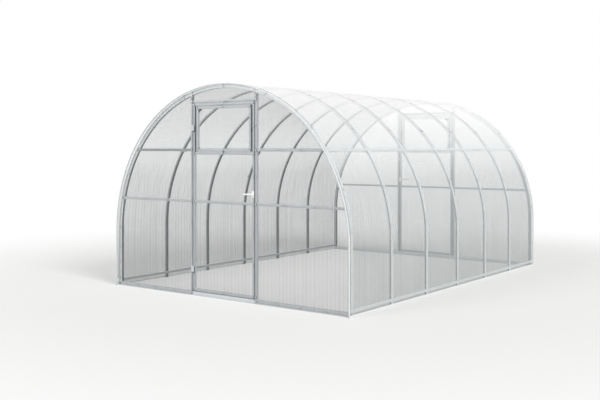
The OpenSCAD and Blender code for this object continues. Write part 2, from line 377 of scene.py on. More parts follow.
def block(a, b):
    """Box between two opposite corners."""
    low, high = Vector(tuple(map(min, a, b))), Vector(tuple(map(max, a, b)))
    deselect()
    bpy.ops.mesh.primitive_cube_add(size=1, location=(low + high) / 2, scale=high - low)
    bpy.ops.object.transform_apply(location=True, rotation=False, scale=True)
    return bpy.context.object


def rounded_block(a, b, axis, radius, segments):
    """Box between two corners with its edges along an axis rounded, still open in edit mode."""
    piece = block(a, b)
    edit(piece)
    pick("edges", lambda e: abs((e.verts[0].co - e.verts[1].co).normalized()[axis]) > PARALLEL)
    bpy.ops.mesh.bevel(offset=radius, segments=segments, affect="EDGES")
    return piece


def tube(a, b, axis, corner=None, cuts=()):
    """Round-edged tube that fills a box and runs along axis. Each cut is a point and a normal, and takes
    away what lies beyond."""
    piece = rounded_block(a, b, axis, tubes().corner if corner is None else corner, 3)
    for point, normal in cuts:
        cut_off(point, normal)
    deselect()
    return piece


def plate(a, b, axis, corner, edge=0.0, segments=4):
    """Flat plate whose thickness lies along axis, with rounded corners and softened edges."""
    piece = rounded_block(a, b, axis, corner, segments)
    if edge > 0:
        soften(edge)
    deselect()
    return piece


def rod(radius, start, end, edge=0.0, vertices=32):
    """Round rod between two points, with softened end edges."""
    start, end = Vector(start), Vector(end)
    way = end - start
    deselect()
    bpy.ops.mesh.primitive_cylinder_add(
        vertices=vertices, radius=radius, depth=way.length, location=(start + end) / 2,
        rotation=way.to_track_quat("Z", "Y").to_euler())
    piece = bpy.context.object
    bpy.ops.object.transform_apply(location=True, rotation=True, scale=True)
    if edge > 0:
        edit(piece)
        soften(edge)
        deselect()
    return piece


def arch_cut(x, z=None):
    """Tangent plane of the gable arch's inside over a point of given x, or beside one of given z."""
    r = FRAME_R - tubes().gable_arch_depth
    if z is None:
        z = SPRING + math.sqrt(r * r - x * x)
    elif z > SPRING:
        x = math.copysign(math.sqrt(r * r - (z - SPRING) ** 2), x)
    else:
        x = math.copysign(r, x)
    normal = Vector((x, 0, max(z - SPRING, 0))).normalized()
    return Vector((x, GABLE_Y, z)), normal


def bent(r0, r1, y0, y1, foot, corner=0.0):
    """Bar of the tunnel's section between two radii, with both legs down to a foot height."""
    deselect()
    bpy.ops.mesh.primitive_plane_add(size=1, location=((r0 + r1) / 2, (y0 + y1) / 2, SPRING))
    piece = bpy.context.object
    piece.scale = (r1 - r0, y1 - y0, 1)
    bpy.ops.object.transform_apply(location=True, rotation=False, scale=True)
    edit(piece)
    if corner > 0:
        bpy.ops.mesh.bevel(offset=corner, segments=3, affect="VERTICES")
        bpy.ops.mesh.select_all(action="SELECT")
    bpy.ops.mesh.spin(steps=tubes().arc_steps, angle=math.pi, center=(0, 0, SPRING), axis=(0, 1, 0))
    if foot != SPRING:
        pick("faces", lambda f: abs(f.normal.z) > PARALLEL and abs(f.calc_center_median().z - SPRING) < NEAR)
        extrude(0, 0, foot - SPRING)
    return turned_out(piece)


def cut_box(piece, low, high):
    """Cuts a box out of a piece."""
    cutter = block(low, high)
    choose(piece)
    boolean = piece.modifiers.new("cut", "BOOLEAN")
    boolean.object = cutter
    boolean.solver = "EXACT"
    bpy.ops.object.modifier_apply(modifier=boolean.name)
    bpy.data.objects.remove(cutter)


def outline_sheet(cuts):
    """Flat sheet with the gable's outline. Each cut is a point and a normal, and takes away what lies
    beyond."""
    radius = FRAME_R - SHEET_TRIM
    deselect()
    bpy.ops.mesh.primitive_circle_add(
        vertices=2 * tubes().arc_steps, radius=radius, fill_type="NGON", location=(0, PANEL_HIGH.y, SPRING),
        rotation=(math.pi / 2, 0, 0))
    piece = bpy.context.object
    bpy.ops.object.transform_apply(location=True, rotation=True, scale=True)
    edit(piece)
    cut_off((0, 0, SPRING), (0, 0, -1), fill=False)
    pick("edges", lambda e: abs(centre_of(e).z - SPRING) < NEAR and abs(centre_of(e).x) < radius / 2)
    extrude(0, 0, PANEL_LOW.z - SPRING)
    for point, normal in cuts:
        cut_off(point, normal, fill=False)
    bpy.ops.mesh.select_all(action="SELECT")
    bpy.ops.transform.translate(value=(0, -TAPE, 0))
    extrude(0, TAPE - SHEET, 0)
    return turned_out(piece)


def flat_sheet(low, high):
    """Flat upright sheet in front of the gable's tubes, as wide and high as a box."""
    return block((low.x, PANEL_LOW.y, low.z), (high.x, PANEL_HIGH.y - TAPE, high.z))


# ---------------------------------------------------------------- materials

def linear(code, level=1.0):
    """Linear colour of an sRGB hex code, times a level and at most white."""
    parts = [int(code[i:i + 2], 16) / 255 for i in (1, 3, 5)]
    parts = [p / 12.92 if p <= 0.04045 else ((p + 0.055) / 1.055) ** 2.4 for p in parts]
    return tuple(min(1.0, p * level) for p in parts) + (1.0,)


def add(tree, kind, settings=None, links=None):
    """Adds a node. A setting names a property or an input, and a link names an input and the socket that
    it comes from, or a node for its first socket."""
    node = tree.nodes.new("ShaderNode" + kind)
    for name, value in (settings or {}).items():
        if isinstance(name, str) and hasattr(node, name):
            setattr(node, name, value)
        else:
            node.inputs[name].default_value = value
    for name, source in (links or {}).items():
        socket = source.outputs[0] if isinstance(source, bpy.types.Node) else source
        tree.links.new(socket, node.inputs[name])
    return node


def new_look(name):
    """A material, its empty node tree, and the place on the object that its patterns read."""
    look = bpy.data.materials.new(name)
    look.use_nodes = True
    tree = look.node_tree
    tree.nodes.clear()
    return look, tree, add(tree, "TexCoord").outputs["Object"]


def closed(look, shader):
    """The material, with its shader at its output."""
    add(look.node_tree, "OutputMaterial", links={"Surface": shader})
    return look


def by_height(tree, place, stops):
    """Colour by height above the ground, from stops of a height, a colour and, in a sheet, the share that
    it hides, which the ramp gives as its alpha."""
    top = stops[-1][0]
    axes = add(tree, "SeparateXYZ", links={0: place})
    level = add(tree, "Math", {"operation": "DIVIDE", 1: top}, {0: axes.outputs["Z"]})
    ramp = add(tree, "ValToRGB", links={"Fac": level})
    points = ramp.color_ramp.elements
    for stop in stops[1:-1]:
        points.new(stop[0] / top)
    for point, (_, code, *share) in zip(points, stops):
        point.color = linear(code)[:3] + tuple(share or (1.0,))
    return ramp


def galvanised(name, stops):
    """Hot-dip galvanised steel tube: a thin zinc skin that has dulled to pale grey, with faint crystals a
    centimetre wide and soft cloudy patches. It looks half metal and half chalk. Its colour comes as one
    code, or as stops by height, which paint light and shade."""
    look, tree, place = new_look(name)
    crystals = add(tree, "TexVoronoi", {"Scale": 1 / 0.011}, {"Vector": place})
    clouds = add(tree, "TexNoise", {"Scale": 1 / 0.12, "Detail": 4.0}, {"Vector": place})
    grey = add(tree, "SeparateColor", links={"Color": crystals.outputs["Color"]})
    spread = add(tree, "Mix", {"data_type": "FLOAT", "Factor": 0.6}, {"A": grey, "B": clouds})
    if isinstance(stops, str):
        stops = ((0.0, stops), (2.0, stops))
    bright = by_height(tree, place, stops)
    level = add(tree, "MapRange", {"To Min": 0.88, "To Max": 1.0}, {"Value": spread})
    tone = add(tree, "VectorMath", {"operation": "SCALE"}, {0: bright, "Scale": level})
    rough = add(tree, "MapRange", {"To Min": 0.42, "To Max": 0.58}, {"Value": spread})
    skin = add(tree, "Bump", {"Strength": 0.12, "Distance": 0.0004}, {"Height": spread})
    shader = add(tree, "BsdfPrincipled", {"Metallic": 0.45},
                 {"Base Color": tone, "Roughness": rough, "Normal": skin})
    return closed(look, shader)


def off_tubes(tree, axes, least):
    """Share of the haze that lies on a cover sheet: the least where the sheet rests on an arch or a rail, and
    all elsewhere. It comes from the places along Y and Z in axes, by their distances to the next arch in
    bays and to the rail."""
    to_arch = (
        {"operation": "MULTIPLY_ADD", 1: 1 / BAY, 2: 0.5 - ARCH_Y[0] / BAY},
        {"operation": "FRACT"},
        {"operation": "SUBTRACT", 1: 0.5},
    )
    to_rail = ({"operation": "SUBTRACT", 1: RAIL_Z},)
    shares = []
    for axis, steps, near, far in (("Y", to_arch, 0.017 / BAY, 0.026 / BAY), ("Z", to_rail, 0.014, 0.019)):
        gap = axes.outputs[axis]
        for step in steps + ({"operation": "ABSOLUTE"},):
            gap = add(tree, "Math", step, {0: gap})
        shares.append(add(tree, "MapRange", {"From Min": near, "From Max": far, "To Min": least},
                          {"Value": gap}))
    return add(tree, "Math", {"operation": "MINIMUM"}, {0: shares[0], 1: shares[1]})


def twin_wall(name, run, stops, graze, stripes, on_arches=1.0):
    """One skin of extruded twin-wall polycarbonate: glossy and clear, over webs. Its flutes show as faint
    uneven stripes, drawn about seven times as coarse as the real 6 mm ones, and it turns milky at a grazing
    view, where the webs hide each other. The stripes follow one another along the axis that run names, and
    on_arches is the share of the haze that is left where a cover rests on its tubes."""
    look, tree, place = new_look(name)
    pitch = finishes().flute_pitch
    axes = add(tree, "SeparateXYZ", links={0: place})
    # Bands of a wave texture of scale 1 lie pi / 10 apart.
    bands = {"wave_type": "BANDS", "bands_direction": run, "Scale": math.pi / 10 / pitch}
    flutes = add(tree, "TexWave", bands, {"Vector": place}).outputs["Fac"]
    uneven = add(tree, "TexNoise", {"noise_dimensions": "1D", "Scale": 0.7 / pitch}, {"W": axes.outputs[run]})
    chance = add(tree, "MapRange", {"From Min": 0.35, "From Max": 0.65}, {"Value": uneven})
    ribs = add(tree, "Mix", {"data_type": "FLOAT", "Factor": 0.4}, {"A": flutes, "B": chance})
    clouds = add(tree, "TexNoise", {"Scale": 2.2, "Detail": 3.0}, {"Vector": place})
    haze = by_height(tree, place, stops)
    stripe = add(tree, "MapRange", {"To Min": 1 - stripes, "To Max": 1 + stripes}, {"Value": ribs})
    cloud = add(tree, "MapRange", {"From Min": 0.3, "From Max": 0.7, "To Min": 0.9, "To Max": 1.1},
                {"Value": clouds})
    both = add(tree, "Math", {"operation": "MULTIPLY"}, {0: stripe, 1: cloud})
    square = add(tree, "Math", {"operation": "MULTIPLY"}, {0: haze.outputs["Alpha"], 1: both})
    slant = add(tree, "LayerWeight", {"Blend": 0.5})
    curve = add(tree, "Math", {"operation": "POWER", 1: GRAZE_POWER}, {0: slant.outputs["Facing"]})
    alpha = add(tree, "Mix", {"data_type": "FLOAT", "B": graze}, {"Factor": curve, "A": square})
    if on_arches < 1:
        alpha = add(tree, "Math", {"operation": "MULTIPLY"}, {0: alpha, 1: off_tubes(tree, axes, on_arches)})
    ripple = add(tree, "Bump", {"Strength": stripes / 4, "Distance": 0.0006}, {"Height": flutes})
    shader = add(tree, "BsdfPrincipled", {"Roughness": 0.3, "IOR": 1.58},
                 {"Base Color": haze, "Alpha": alpha, "Normal": ripple})
    return closed(look, shader)


def sealed_profile(name, code):
    """Extruded end profile pressed over a sheet's edge: white polycarbonate with a satin skin, and faint
    cloudy marks from the die, about 2 cm apart."""
    look, tree, place = new_look(name)
    marks = add(tree, "TexNoise", {"Scale": 1 / 0.02, "Detail": 3.0}, {"Vector": place})
    tone = add(tree, "Mix", {"data_type": "RGBA", 6: linear(code, 0.88), 7: linear(code)}, {"Factor": marks})
    rough = add(tree, "MapRange", {"To Min": 0.3, "To Max": 0.45}, {"Value": marks})
    shader = add(tree, "BsdfPrincipled", {"IOR": 1.58}, {"Base Color": tone.outputs[2], "Roughness": rough})
    return closed(look, shader)


def cut_edge(name, code):
    """Sawn edge of a twin-wall sheet: the cells stand open in a row, so it is rough, and it is painted darker
    than the skins, darkest in each cell's middle, as painted shade in the open cells. The cells are drawn at
    their real 6 mm."""
    look, tree, place = new_look(name)
    cells = add(tree, "TexVoronoi", {"Scale": 1 / 0.006}, {"Vector": place})
    tone = add(tree, "Mix", {"data_type": "RGBA", 6: linear(code), 7: linear(code, 1.5)}, {"Factor": cells})
    shader = add(tree, "BsdfPrincipled", {"Roughness": 0.6, "IOR": 1.58}, {"Base Color": tone.outputs[2]})
    return closed(look, shader)


def moulded(name, code):
    """Injection-moulded plastic, ABS on the handles and nylon on the hinges: a satin gloss and a faint grain
    from the mould. The ABS is clean white, and the sun has greyed the nylon."""
    look, tree, place = new_look(name)
    grain = add(tree, "TexNoise", {"Scale": 1 / 0.0012, "Detail": 2.0}, {"Vector": place})
    rough = add(tree, "MapRange", {"To Min": 0.3, "To Max": 0.42}, {"Value": grain})
    skin = add(tree, "Bump", {"Strength": 0.08, "Distance": 0.0002}, {"Height": grain})
    shader = add(tree, "BsdfPrincipled", {"Base Color": linear(code), "IOR": 1.53},
                 {"Roughness": rough, "Normal": skin})
    return closed(look, shader)


def plated_steel(name):
    """Zinc-plated screw steel: bright and smooth, with fine tool marks."""
    look, tree, place = new_look(name)
    marks = add(tree, "TexNoise", {"Scale": 1 / 0.0009, "Detail": 2.0}, {"Vector": place})
    rough = add(tree, "MapRange", {"To Min": 0.24, "To Max": 0.4}, {"Value": marks})
    shader = add(tree, "BsdfPrincipled", {"Base Color": linear("#D9DCE0"), "Metallic": 1.0},
                 {"Roughness": rough})
    return closed(look, shader)


def washer_rubber(name):
    """EPDM rubber: matt black-grey, a little paler where the sun has chalked it."""
    look, tree, place = new_look(name)
    chalk = add(tree, "TexNoise", {"Scale": 1 / 0.004, "Detail": 3.0}, {"Vector": place})
    tone = add(tree, "Mix", {"data_type": "RGBA", 6: linear("#2A2C2E"), 7: linear("#4A4D50")},
               {"Factor": chalk})
    shader = add(tree, "BsdfPrincipled", {"Roughness": 0.75}, {"Base Color": tone.outputs[2]})
    return closed(look, shader)


MATERIALS = {}


def material(name):
    """Each look is made once, when a piece first asks for it."""
    codes = finishes()
    makers = {
        "galvanised_tube": (galvanised, codes.zinc),
        "gable_tube": (galvanised, codes.zinc_gable),
        "bar_tube": (galvanised, codes.zinc_bar),
        "sunned_zinc": (galvanised, ZINC_OUTSIDE),
        "weathered_zinc": (galvanised, ZINC_ASIDE),
        "back_zinc": (galvanised, ZINC_BACK),
        "shaded_zinc": (galvanised, ZINC_INSIDE),
        "dulled_zinc": (galvanised, codes.zinc_gap),
        "twin_wall_cover_outer": (twin_wall, "Y", COVER_OUTER, GRAZE_OUTER, 0.06, 0.5),
        "twin_wall_cover_inner": (twin_wall, "Y", COVER_INNER, GRAZE_INNER, 0.16, 0.35),
        "twin_wall_gable_outer": (twin_wall, "X", GABLE_OUTER, GRAZE_OUTER, 0.05),
        "twin_wall_gable_inner": (twin_wall, "X", GABLE_INNER, GRAZE_INNER, 0.20),
        "white_profile": (sealed_profile, codes.profile),
        "greyed_profile": (sealed_profile, codes.profile_inside),
        "twin_wall_cut_edge": (cut_edge, codes.cut_edge),
        "white_abs": (moulded, codes.plastic),
        "sunned_nylon": (moulded, codes.nylon),
        "plated_steel": (plated_steel,),
        "washer_rubber": (washer_rubber,),
    }
    if name not in MATERIALS:
        maker, *values = makers[name]
        MATERIALS[name] = maker(name, *values)
    return MATERIALS[name]


# ---------------------------------------------------------------- pieces

def repaint(pieces, look, test):
    """Gives the faces that pass a test another look."""
    for piece in pieces:
        piece.data.materials.append(material(look))
        for face in piece.data.polygons:
            if test(face):
                face.material_index = len(piece.data.materials) - 1


def outward(face):
    """How squarely a face of an arch or cover looks away from the tunnel's middle line, from -1 to 1."""
    centre = face.center
    return face.normal.dot(Vector((centre.x, 0, max(centre.z - SPRING, 0))).normalized())


def faces_inward(face):
    return outward(face) < -FACING


def faces_outward(face):
    return outward(face) > FACING


def faces_along(face):
    """True for a face that looks along the tunnel."""
    return abs(face.normal.y) > FACING


def faces_tunnel(face):
    """True for a face of a gable that looks into the tunnel."""
    return face.normal.y * face.center.y < 0 and faces_along(face)


def high_bar(face):
    """True for the outer face of a gable's high bar."""
    return abs(face.center.z - HIGH_BAR) < TUBE and face.normal.y * face.center.y > 0 and faces_along(face)


def sheet_edge(face):
    """True for the cut edge of a gable's sheet."""
    return abs(face.normal.y) < 0.5


def door_gap(face):
    """True for a face of a tube that looks across a narrow gap: between post and leaf, or leaf and sash."""
    x = abs(face.center.x)
    room = 0.001
    beside_leaf = LEAF_HIGH.x - room < x < POST_LOW.x + room
    beside_sash = SASH_PANEL_HIGH.x - room < x < LEAF_HIGH.x - TUBE + room and face.center.z > TRANSOM_TOP
    return abs(face.normal.x) > FACING and (beside_leaf or beside_sash)


def paint_frame(pair):
    """Gives tubes beside a door's gaps their backs' zinc, painted darker toward the ground and lighter toward
    the top, and a dark zinc on the faces in the gaps, as painted light and shade.
    """
    repaint(pair, "back_zinc", faces_tunnel)
    repaint(pair, "dulled_zinc", door_gap)


def finish_sheets(piece, name, body, node):
    """Finishes a sheet of the front gable and its copy in the rear one, with their backs and edges."""
    pair = finish_both(piece, name, body, "twin_wall_gable_outer", [node], "polycarbonate")
    repaint(pair, "twin_wall_gable_inner", faces_tunnel)
    repaint(pair, "twin_wall_cut_edge", sheet_edge)


class GREENHOUSE_OT_arches(bpy.types.Operator):
    """Seven arches, each a bow pushed into two legs"""
    bl_idname = "greenhouse.arches"
    bl_label = "Arches"

    def execute(self, context):
        size = tubes()
        for node, (low, high) in zip(ARCH_NODES, ARCH_BOXES):
            gable = "_arch" in node
            inside = FRAME_R - (size.gable_arch_depth if gable else size.arch_depth)
            legs = bent(inside, FRAME_R, low.y, high.y, round(low.z, 4), size.corner)
            edit(legs)
            cut_off((0, 0, size.splice_z), (0, 0, 1))
            bow = bent(inside + FIT, FRAME_R - FIT / 3, low.y + FIT, high.y - FIT, SPRING, size.corner)
            piece = finish(join([legs, bow]), node + "_tube", "tunnel", "galvanised_tube", [node])
            # Painted light and shade: a dark zinc on the inward faces, and zincs painted by height on the
            # outsides, the gables' backs and the sides.
            repaint([piece], "shaded_zinc", faces_inward)
            repaint([piece], "sunned_zinc", faces_outward)
            if gable:
                repaint([piece], "back_zinc", faces_tunnel)
            else:
                repaint([piece], "weathered_zinc", faces_along)
        return {"FINISHED"}


def hex_bolt(point, way, width=0.010, height=0.0055):
    """Hexagon bolt head with a flange, standing at a point."""
    point, way = Vector(point), Vector(way).normalized()
    flange = rod(width * 0.72, point, point + way * 0.0015, HEAD_CHAMFER, 24)
    head = rod(width * 0.577, point, point + way * height, 0.0006, 6)
    return join([flange, head])


def clamp(r0, y, height):
    """Pressed clamp behind an arch at radius r0, level with the springing: a plate with a raised middle and
    two hexagon bolts."""
    half = fittings().clamp_length / 2
    face = r0 - fittings().clamp_plate
    base = plate((face, y - half, SPRING - height / 2), (r0, y + half, SPRING + height / 2), 0,
                 corner=0.006, edge=0.0006)
    edit(base)
    pick("faces", lambda f: f.normal.x < -PARALLEL and f.calc_area() > half * height)
    bpy.ops.mesh.inset(thickness=height * 0.22)
    extrude(-CLAMP_RISE, 0, 0)
    bpy.ops.transform.resize(value=(1, 0.9, 0.8))
    deselect()
    bolts = [hex_bolt((face - CLAMP_RISE, y + side * half * 0.68, SPRING), (-1, 0, 0)) for side in (-1, 1)]
    return join([base] + bolts)


class GREENHOUSE_OT_rails(bpy.types.Operator):
    """Base rails and purlins between the arches, with their clamps"""
    bl_idname = "greenhouse.rails"
    bl_label = "Rails and purlins"

    def execute(self, context):
        size = tubes()
        r0 = FRAME_R - size.arch_depth
        rail_h = RAIL_HIGH.z - RAIL_LOW.z
        spans = [(a[1].y, b[0].y) for a, b in zip(ARCH_BOXES, ARCH_BOXES[1:])]
        # Rails and purlins are made level with the springing. The rail then sinks, and the purlin swings up.
        angle = math.asin((HIGH_BAR - SPRING) / (FRAME_R - size.arch_depth / 2))
        lift = Matrix.Translation((0, 0, RAIL_Z - SPRING))
        axle = Matrix.Translation((0, 0, SPRING))
        swing = axle @ Matrix.Rotation(-angle, 4, "Y") @ axle.inverted()
        under_bow = FRAME_R - math.sqrt(FRAME_R ** 2 - (size.purlin / 2) ** 2)
        mirror = Matrix.Scale(-1, 4, (1, 0, 0))
        for kind, h, clamp_h, move, drop in (
                ("base_rail", rail_h, rail_h, lift, 0),
                ("purlin", size.purlin, fittings().clamp_height, swing, under_bow)):
            bars = [tube((r0, a, SPRING - h / 2), (FRAME_R - drop, b, SPRING + h / 2), 1) for a, b in spans]
            clamps = [clamp(r0 - drop, y, clamp_h) for y in ARCH_Y[1:-1]]
            for pieces, tag in ((bars, "_tubes"), (clamps, "_clamps")):
                right = join(pieces)
                right.data.transform(move)
                left = duplicate(right, mirror)
                left.data.flip_normals()
                for piece, side in ((right, "right_"), (left, "left_")):
                    finish(piece, side + kind + tag, "tunnel", "galvanised_tube", [side + kind])
                    # The inward faces take the sides' zinc, painted darker as painted shade.
                    repaint([piece], "weathered_zinc", faces_inward)
        return {"FINISHED"}


class GREENHOUSE_OT_covers(bpy.types.Operator):
    """Two twin-wall sheets bent over the arches, with end profiles on their outer edges and feet"""
    bl_idname = "greenhouse.covers"
    bl_label = "Cover sheets"

    def execute(self, context):
        size = tubes()
        profile_r = FRAME_R + TAPE / 2
        for node in ("front_cover_sheet", "rear_cover_sheet"):
            low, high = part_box(node)
            sheet = bent(FRAME_R + TAPE, COVER_R - TAPE, low.y + TAPE, high.y - TAPE, TAPE)
            finish(sheet, node + "_bent", "tunnel", "twin_wall_cover_outer", [node], "polycarbonate")
            repaint([sheet], "twin_wall_cover_inner", faces_inward)
            start = low.y if node.startswith("front") else high.y - size.profile
            profiles = [bent(profile_r, COVER_R, start, start + size.profile, 0.0)]
            profiles += [tube((side * profile_r, low.y, 0), (side * COVER_R, high.y, size.profile_foot), 1,
                              corner=0.001) for side in (-1, 1)]
            ends = join(profiles)
            finish(ends, node + "_profiles", "tunnel", "white_profile", slot="polycarbonate")
            # The profiles' inward faces are painted greyer as painted shade.
            repaint([ends], "greyed_profile", faces_inward)
        return {"FINISHED"}


class GREENHOUSE_OT_gable_frames(bpy.types.Operator):
    """Sill, posts, header and bars of both gables"""
    bl_idname = "greenhouse.gable_frames"
    bl_label = "Gable frames"

    def execute(self, context):
        finish_both(tube(SILL_LOW, SILL_HIGH, 0), "sill_tube", "tunnel", "gable_tube", ["sill"])
        finish_both(tube(HEADER_LOW, HEADER_HIGH, 0), "header_tube", "tunnel", "gable_tube", ["header"])
        for side, sign in (("right_", 1), ("left_", -1)):
            low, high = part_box(f"front_{side}post")
            post = tube(low, (high.x, high.y, high.z + TUBE), 2, cuts=[arch_cut((low.x + high.x) / 2)])
            paint_frame(finish_both(post, side + "post_tube", "tunnel", "gable_tube", [side + "post"]))
            bars = [tube((sign * POST_HIGH.x, GABLE_Y, z - TUBE / 2),
                         (sign * FRAME_R, GABLE_BACK, z + TUBE / 2), 0, cuts=[arch_cut(sign, z)])
                    for z in (LOW_BAR, HIGH_BAR)]
            pair = finish_both(join(bars), side + "bar_tubes", "tunnel", "gable_tube", [side + "bars"])
            # The backs are painted darker toward the ground and lighter at the top as painted light and
            # shade, and the left high bars' outer faces darker as painted shade.
            repaint(pair, "back_zinc", faces_tunnel)
            if sign < 0:
                repaint(pair, "bar_tube", high_bar)
        return {"FINISHED"}


class GREENHOUSE_OT_gable_sheets(bpy.types.Operator):
    """Twin-wall sheets of both gables, beside and over the doors"""
    bl_idname = "greenhouse.gable_sheets"
    bl_label = "Gable sheets"

    def execute(self, context):
        edge = POST_LOW.x
        for side, sign in (("right_", 1), ("left_", -1)):
            sheet = outline_sheet([((sign * edge, 0, 0), (-sign, 0, 0))])
            finish_sheets(sheet, side + "gable_sheet", "tunnel", side + "panel")
        sheet = outline_sheet([((edge, 0, 0), (1, 0, 0)), ((-edge, 0, 0), (-1, 0, 0)),
                               ((0, 0, HEADER_LOW.z), (0, 0, -1))])
        finish_sheets(sheet, "top_gable_sheet", "tunnel", "top_panel")
        return {"FINISHED"}


class GREENHOUSE_OT_doors(bpy.types.Operator):
    """Door leaves: two stiles, four rails and the sheet on them"""
    bl_idname = "greenhouse.doors"
    bl_label = "Doors"

    def execute(self, context):
        inside = LEAF_HIGH.x - TUBE
        stiles = [tube((x, GABLE_Y, LEAF_LOW.z), (x + TUBE, GABLE_BACK, LEAF_HIGH.z), 2)
                  for x in (-LEAF_HIGH.x, inside)]
        for stile in stiles:
            # An edge round the stile, where the painted shade on its faces beside the sash begins.
            edit(stile)
            bpy.ops.mesh.bisect(plane_co=(0, 0, TRANSOM_TOP), plane_no=(0, 0, 1))
        rails = [tube((-inside, GABLE_Y, z), (inside, GABLE_BACK, z + TUBE), 0)
                 for z in (LEAF_LOW.z, LOW_BAR - TUBE / 2, TRANSOM_TOP - TUBE, LEAF_HIGH.z - TUBE)]
        leaf = join(stiles + rails)
        paint_frame(finish_both(leaf, "door_leaf_tubes", "door", "gable_tube", ["door_frame"]))
        sheet = flat_sheet(LEAF_LOW, LEAF_HIGH)
        cut_box(sheet, (-inside, GABLE_Y - 1, TRANSOM_TOP), (inside, GABLE_Y + 1, LEAF_HIGH.z - TUBE))
        finish_sheets(sheet, "door_sheet", "door", "door_panel")
        return {"FINISHED"}


def gusset(corner, run, rise):
    """Three-cornered rubber plate in the corner of a sash, with legs along X and Z."""
    corner = Vector(corner)
    deselect()
    bpy.ops.mesh.primitive_plane_add(size=1, location=corner + Vector((run / 2, 0, rise / 2)),
                                     rotation=(math.pi / 2, 0, 0))
    piece = bpy.context.object
    piece.scale = (abs(run), abs(rise), 1)
    bpy.ops.object.transform_apply(location=True, rotation=True, scale=True)
    edit(piece)
    pick("verts", lambda v: abs(v.co.x - corner.x) > abs(run) / 2 and abs(v.co.z - corner.z) > abs(rise) / 2)
    bpy.ops.mesh.delete(type="VERT")
    bpy.ops.mesh.select_all(action="SELECT")
    bpy.ops.mesh.edge_face_add()
    extrude(0, GUSSET_THICK, 0)
    return turned_out(piece)


class GREENHOUSE_OT_vents(bpy.types.Operator):
    """Vent sashes in the tops of the doors, with their pivots, bushes and gussets"""
    bl_idname = "greenhouse.vents"
    bl_label = "Vent sashes"

    def execute(self, context):
        low, high = SASH_PANEL_LOW, SASH_PANEL_HIGH
        inside = high.x - TUBE
        middle, depth = (low.z + high.z) / 2, (GABLE_Y + GABLE_BACK) / 2
        bars = [tube((x, GABLE_Y, low.z), (x + TUBE, GABLE_BACK, high.z), 2) for x in (low.x, inside)]
        bars += [tube((-inside, GABLE_Y, z), (inside, GABLE_BACK, z + TUBE), 0)
                 for z in (low.z, high.z - TUBE)]
        for a, b in ((SASH_LOW.x, low.x), (high.x, SASH_HIGH.x)):
            bars.append(rod(0.007, (a, depth, middle), (b, depth, middle)))
        paint_frame(finish_both(join(bars), "vent_sash_tubes", "door", "gable_tube", ["vent_frame"]))
        gap = SASH_HIGH.x - high.x
        bush_x, bush_w, bush_h = high.x + gap / 2, gap * 0.46, fittings().bush / 2
        bushes = [plate((side * bush_x - bush_w, GABLE_Y + 0.002, middle - bush_h),
                        (side * bush_x + bush_w, GABLE_BACK - 0.004, middle + bush_h), 0,
                        corner=0.003, edge=0.0008) for side in (-1, 1)]
        finish_both(join(bushes), "vent_bushes", "door", "washer_rubber")
        long_leg = fittings().gusset
        short_leg = long_leg * 0.4
        top, foot = high.z - TUBE, low.z + TUBE
        gussets = [gusset((side * inside, depth, z), -side * leg, math.copysign(leg, middle - z) * 0.8)
                   for side, z, leg in ((-1, top, long_leg), (1, top, short_leg),
                                        (-1, foot, short_leg), (1, foot, short_leg))]
        finish_both(join(gussets), "vent_gussets", "door", "washer_rubber")
        finish_sheets(flat_sheet(low, high), "vent_sheet", "door", "vent_panel")
        return {"FINISHED"}


# ---------------------------------------------------------------- fittings

def along(point, way):
    """Matrix that takes the +Z axis at the origin to a way out of a point."""
    return Matrix.Translation(Vector(point)) @ Vector(way).to_track_quat("Z", "Y").to_matrix().to_4x4()


def screw(scale, spread):
    """Self-drilling screw head and its washer, standing on the origin along +Z."""
    size = fittings()
    washer = rod(spread * size.washer / 2, (0, 0, 0), (0, 0, WASHER_TOP), HEAD_CHAMFER, 16)
    flange = rod(scale * size.screw_head / 2, (0, 0, WASHER_TOP), (0, 0, FLANGE_TOP), vertices=16)
    top = FLANGE_TOP + scale * HEAD_HEIGHT
    head = rod(scale * size.screw_head * 0.36, (0, 0, FLANGE_TOP), (0, 0, top), 0.0008, 6)
    return join([flange, head]), washer


def screws(name, body, places, scale=1, spread=1, rubber="washer_rubber", put=finish_both):
    """One piece of screw heads and one of washers, copied to places, each a point and a way out."""
    for master, tag, look in zip(screw(scale, spread), ("_screws", "_washers"), ("plated_steel", rubber)):
        copies = [duplicate(master, along(point, way)) for point, way in places]
        bpy.data.objects.remove(master)
        put(join(copies), name + tag, body, look)


def on_face(spots):
    """Places on the gable's sheets, from pairs of x and z."""
    return [((x, PANEL_LOW.y, z), (0, -1, 0)) for x, z in spots]


